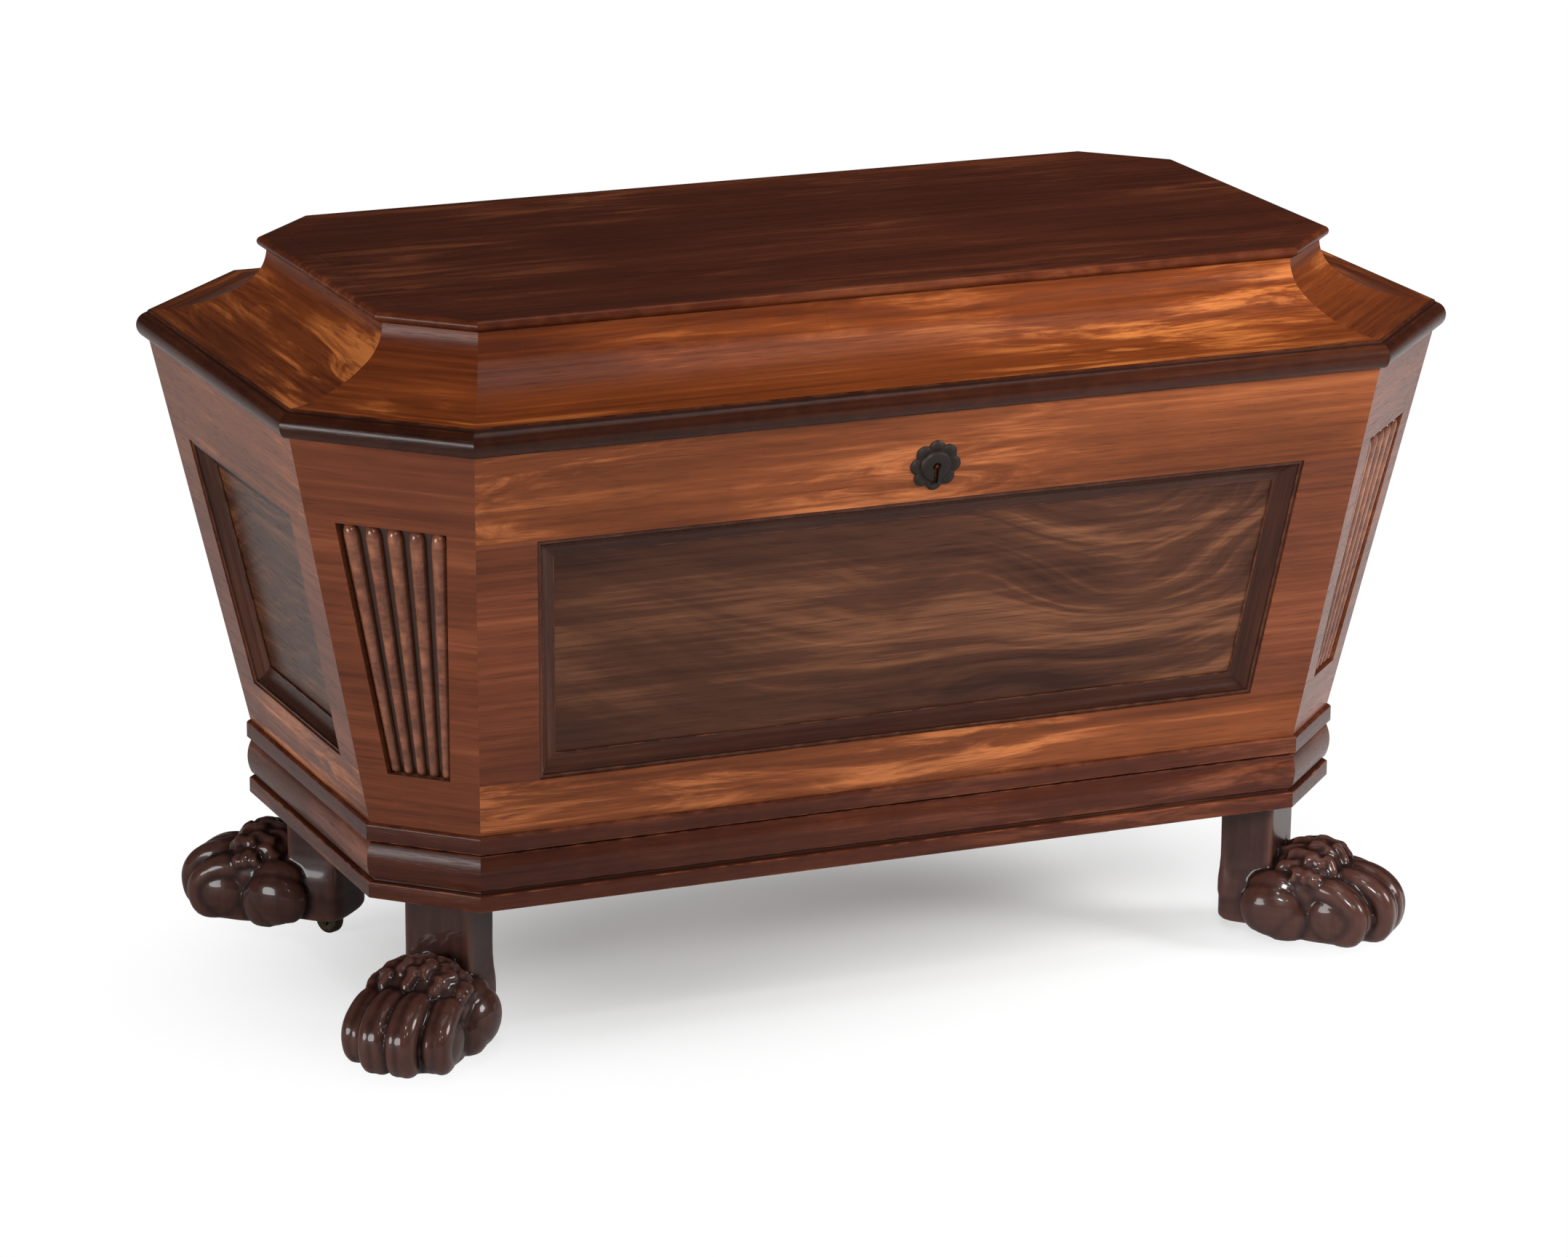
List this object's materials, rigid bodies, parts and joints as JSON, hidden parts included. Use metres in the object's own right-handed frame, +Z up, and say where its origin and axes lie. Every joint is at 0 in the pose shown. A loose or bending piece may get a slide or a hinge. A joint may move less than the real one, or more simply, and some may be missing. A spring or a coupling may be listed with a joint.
{
  "type": "cellarette",
  "caption": "Tapered octagonal mahogany wine cooler with a hinged coved lid, a lock, a lead-lined interior with bottle divisions, and carved paw feet on hidden castors.",
  "frame": {"origin": "on the floor under the middle of the piece", "axes": "+X along the front towards its right end, +Y towards the back, +Z up"},
  "size_m": [0.8108, 0.4738, 0.481],
  "materials": {
    "lead": "dull lead sheet",
    "plain_wood": "unpolished secondary timber",
    "steel": "dull",
    "lock_brass": "aged",
    "escutcheon_brass": "aged, polished on the raised parts",
    "castor_brass": "dark, aged",
    "hinge_brass": "aged",
    "carved_mahogany": "dark, French polished",
    "panel_mahogany": "flame figured, French polished",
    "moulding_mahogany": "French polished",
    "reed_mahogany": "French polished",
    "crossbanded_mahogany": "cross-grained, French polished",
    "rail_mahogany": "French polished",
    "plinth_mahogany": "French polished",
    "lid_moulding_mahogany": "French polished",
    "cove_mahogany": "flame figured, French polished",
    "lid_top_mahogany": "French polished"
  },
  "bodies": {
    "case": {"front_top_rail": "rail_mahogany", "front_bottom_rail": "rail_mahogany", "front_stiles": "crossbanded_mahogany", "front_panel": "panel_mahogany", "front_panel_moulding": "moulding_mahogany", "right_top_rail": "rail_mahogany", "right_bottom_rail": "rail_mahogany", "right_stiles": "crossbanded_mahogany", "right_panel": "panel_mahogany", "right_panel_moulding": "moulding_mahogany", "back_top_rail": "rail_mahogany", "back_bottom_rail": "rail_mahogany", "back_stiles": "crossbanded_mahogany", "back_panel": "panel_mahogany", "back_panel_moulding": "moulding_mahogany", "left_top_rail": "rail_mahogany", "left_bottom_rail": "rail_mahogany", "left_stiles": "crossbanded_mahogany", "left_panel": "panel_mahogany", "left_panel_moulding": "moulding_mahogany", "front_right_corner_board": "crossbanded_mahogany", "back_right_corner_board": "crossbanded_mahogany", "back_left_corner_board": "crossbanded_mahogany", "front_left_corner_board": "crossbanded_mahogany", "front_right_corner_reeding": "reed_mahogany", "back_right_corner_reeding": "reed_mahogany", "back_left_corner_reeding": "reed_mahogany", "front_left_corner_reeding": "reed_mahogany", "plinth_moulding": "plinth_mahogany", "bottom_board": "plain_wood", "foot_blocks": "plain_wood", "lead_lining": "lead", "long_divisions": "plain_wood", "cross_divisions": "plain_wood", "front_right_paw_foot": "carved_mahogany", "back_right_paw_foot": "carved_mahogany", "back_left_paw_foot": "carved_mahogany", "front_left_paw_foot": "carved_mahogany", "castor_plates": "castor_brass", "lock_case": "lock_brass", "escutcheon": "escutcheon_brass", "hinge_case_leaves": "hinge_brass", "hinge_pins": "steel", "case_screws": "steel"},
    "lid": {"lid_rim": "lid_moulding_mahogany", "lid_cove": "cove_mahogany", "lid_top_board": "lid_top_mahogany", "lid_top_moulding": "lid_moulding_mahogany", "hinge_lid_leaves": "hinge_brass", "link_plate": "lock_brass", "lid_screws": "steel"},
    "bolt": {"lock_bolt": "steel"},
    "front_right_castor": {"front_right_castor_fork": "castor_brass"},
    "front_right_wheel": {"front_right_castor_wheel": "castor_brass"},
    "back_right_castor": {"back_right_castor_fork": "castor_brass"},
    "back_right_wheel": {"back_right_castor_wheel": "castor_brass"},
    "back_left_castor": {"back_left_castor_fork": "castor_brass"},
    "back_left_wheel": {"back_left_castor_wheel": "castor_brass"},
    "front_left_castor": {"front_left_castor_fork": "castor_brass"},
    "front_left_wheel": {"front_left_castor_wheel": "castor_brass"}
  },
  "joints": [
    {"name": "lid_hinge", "type": "hinge", "parent": "case", "child": "lid", "pos_m": [0, 0.2316, 0.41415], "axis": [-1, 0, 0], "range_deg": [0, 95]},
    {"name": "bolt_slide", "type": "slide", "parent": "case", "child": "bolt", "axis": [-1, 0, 0], "range_m": [0, 0.007]},
    {"name": "front_right_castor_swivel", "type": "hinge", "parent": "case", "child": "front_right_castor", "pos_m": [0.29109, -0.12259, 0.0236], "axis": [0, 0, 1], "continuous": true},
    {"name": "front_right_wheel_roll", "type": "hinge", "parent": "front_right_castor", "child": "front_right_wheel", "pos_m": [0.29781, -0.12931, 0.01], "axis": [-0.7071, -0.7071, 0], "continuous": true},
    {"name": "back_right_castor_swivel", "type": "hinge", "parent": "case", "child": "back_right_castor", "pos_m": [0.29109, 0.12259, 0.0236], "axis": [0, 0, 1], "continuous": true},
    {"name": "back_right_wheel_roll", "type": "hinge", "parent": "back_right_castor", "child": "back_right_wheel", "pos_m": [0.28944, 0.11323, 0.01], "axis": [-0.9848, 0.1736, 0], "continuous": true},
    {"name": "back_left_castor_swivel", "type": "hinge", "parent": "case", "child": "back_left_castor", "pos_m": [-0.29109, 0.12259, 0.0236], "axis": [0, 0, 1], "continuous": true},
    {"name": "back_left_wheel_roll", "type": "hinge", "parent": "back_left_castor", "child": "back_left_wheel", "pos_m": [-0.28708, 0.11398, 0.01], "axis": [-0.9063, -0.4226, 0], "continuous": true},
    {"name": "front_left_castor_swivel", "type": "hinge", "parent": "case", "child": "front_left_castor", "pos_m": [-0.29109, -0.12259, 0.0236], "axis": [0, 0, 1], "continuous": true},
    {"name": "front_left_wheel_roll", "type": "hinge", "parent": "front_left_castor", "child": "front_left_wheel", "pos_m": [-0.28708, -0.11398, 0.01], "axis": [0.9063, -0.4226, 0], "continuous": true}
  ]
}
